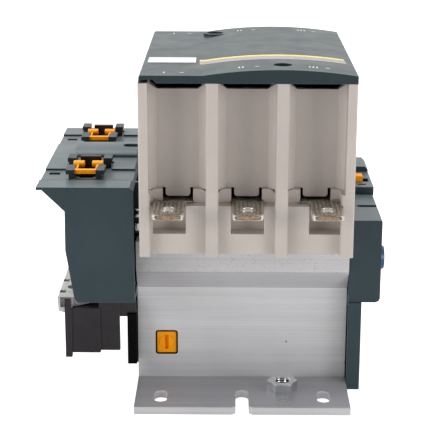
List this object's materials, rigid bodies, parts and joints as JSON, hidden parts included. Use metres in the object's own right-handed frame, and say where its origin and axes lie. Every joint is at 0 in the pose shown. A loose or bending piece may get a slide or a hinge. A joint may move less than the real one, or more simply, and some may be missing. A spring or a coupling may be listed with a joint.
{
  "type": "power contactor",
  "caption": "Three-pole block contactor on an aluminium magnet frame with bolt-down feet, ribbed terminal pads, arc-chute housing, side auxiliary housings and coil terminal block.",
  "frame": {"origin": "centre of the four foot bolt slots, on the mounting plane", "axes": "+Z away from the panel towards the front cover, -Y towards the line terminals, X along the magnet frame extrusion"},
  "size_m": [0.168, 0.162, 0.1676],
  "materials": {
    "extruded_aluminium": "mill-finished extrusion, fine lines along its length",
    "zinc_steel": "bright zinc plated",
    "orange_plastic": "moulded, light sheen",
    "black_rubber": "matt",
    "core_steel": "laminated sheet edges",
    "copper": "bare copper",
    "black_plastic": "moulded, fine texture",
    "winding_tape": "enamelled wire under varnish",
    "tinned_copper": "tin plated, copper showing at cut ends",
    "light_grey_plastic": "warm light grey, fine moulded texture",
    "green_grey_plastic": "dark green-grey, fine moulded texture",
    "silver_contact": "silver alloy",
    "spring_steel": "drawn wire",
    "phenolic_brown": "thermoset moulding",
    "dark_brown_plastic": "moulded, low sheen",
    "blue_plastic": "moulded, light gloss"
  },
  "bodies": {
    "root": {"magnet_frame": "extruded_aluminium", "earth_nut": "zinc_steel", "magnet_lock_bezel": "orange_plastic", "core_cushions": "black_rubber", "fixed_core": "core_steel", "shading_rings": "copper", "coil_bobbin": "black_plastic", "coil_winding": "winding_tape", "coil_leads": "tinned_copper", "coil_terminal_block": "light_grey_plastic", "coil_terminal_screws": "zinc_steel", "left_end_cover": "black_plastic", "channel_end_plate": "black_plastic", "right_end_cover": "green_grey_plastic", "lower_housing": "light_grey_plastic", "frame_screws": "zinc_steel", "line_terminal_1": "tinned_copper", "line_terminal_2": "tinned_copper", "line_terminal_3": "tinned_copper", "load_terminal_1": "tinned_copper", "load_terminal_2": "tinned_copper", "load_terminal_3": "tinned_copper", "fixed_contact_tips": "silver_contact", "arc_chute_housing": "light_grey_plastic", "chute_screws": "zinc_steel", "arc_splitters_1": "core_steel", "arc_splitters_2": "core_steel", "arc_splitters_3": "core_steel", "front_cover": "green_grey_plastic", "cover_screws": "zinc_steel", "return_springs": "spring_steel", "left_wing": "green_grey_plastic", "aux_clip_front": "black_plastic", "aux_clip_rear": "black_plastic", "right_wing": "green_grey_plastic", "side_cap": "blue_plastic"},
    "contact_carrier": {"contact_carrier": "phenolic_brown", "armature": "core_steel", "armature_pin": "spring_steel", "aux_drive_yoke": "dark_brown_plastic", "aux_driver_front": "dark_brown_plastic", "aux_driver_rear": "dark_brown_plastic", "contact_springs": "spring_steel"},
    "contact_bridges": {"contact_bridge_1": "copper", "contact_bridge_2": "copper", "contact_bridge_3": "copper", "moving_contact_tips": "silver_contact"},
    "lock_cam": {"magnet_lock_cam": "orange_plastic"},
    "latch_front": {"aux_latch_front": "orange_plastic"},
    "latch_rear": {"aux_latch_rear": "orange_plastic"},
    "latch_right": {"right_latch": "orange_plastic"}
  },
  "joints": [
    {"name": "carrier_slide", "type": "slide", "parent": "root", "child": "contact_carrier", "axis": [0, 0, -1], "range_m": [0, 0.0075], "stiffness_N_per_m": 3500, "springref_m": -0.008, "deforming": ["return_springs"]},
    {"name": "contact_overtravel", "type": "slide", "parent": "contact_carrier", "child": "contact_bridges", "axis": [0, 0, 1], "range_m": [0, 0.0015], "stiffness_N_per_m": 3000, "springref_m": -0.003, "deforming": ["contact_springs"]},
    {"name": "lock_turn", "type": "hinge", "parent": "root", "child": "lock_cam", "pos_m": [-0.03805, -0.032, 0.0223], "axis": [0, -1, 0], "range_deg": [0, 90]},
    {"name": "latch_front_slide", "type": "slide", "parent": "root", "child": "latch_front", "axis": [0, 1, 0], "range_m": [0, 0.002], "stiffness_N_per_m": 800, "springref_m": -0.001},
    {"name": "latch_rear_slide", "type": "slide", "parent": "root", "child": "latch_rear", "axis": [0, 1, 0], "range_m": [0, 0.002], "stiffness_N_per_m": 800, "springref_m": -0.001},
    {"name": "latch_right_slide", "type": "slide", "parent": "root", "child": "latch_right", "axis": [1, 0, 0], "range_m": [0, 0.003], "stiffness_N_per_m": 800, "springref_m": -0.001}
  ],
  "couplings": [
    {"joint": "contact_overtravel", "follows": "carrier_slide", "ratio": 0.2}
  ]
}
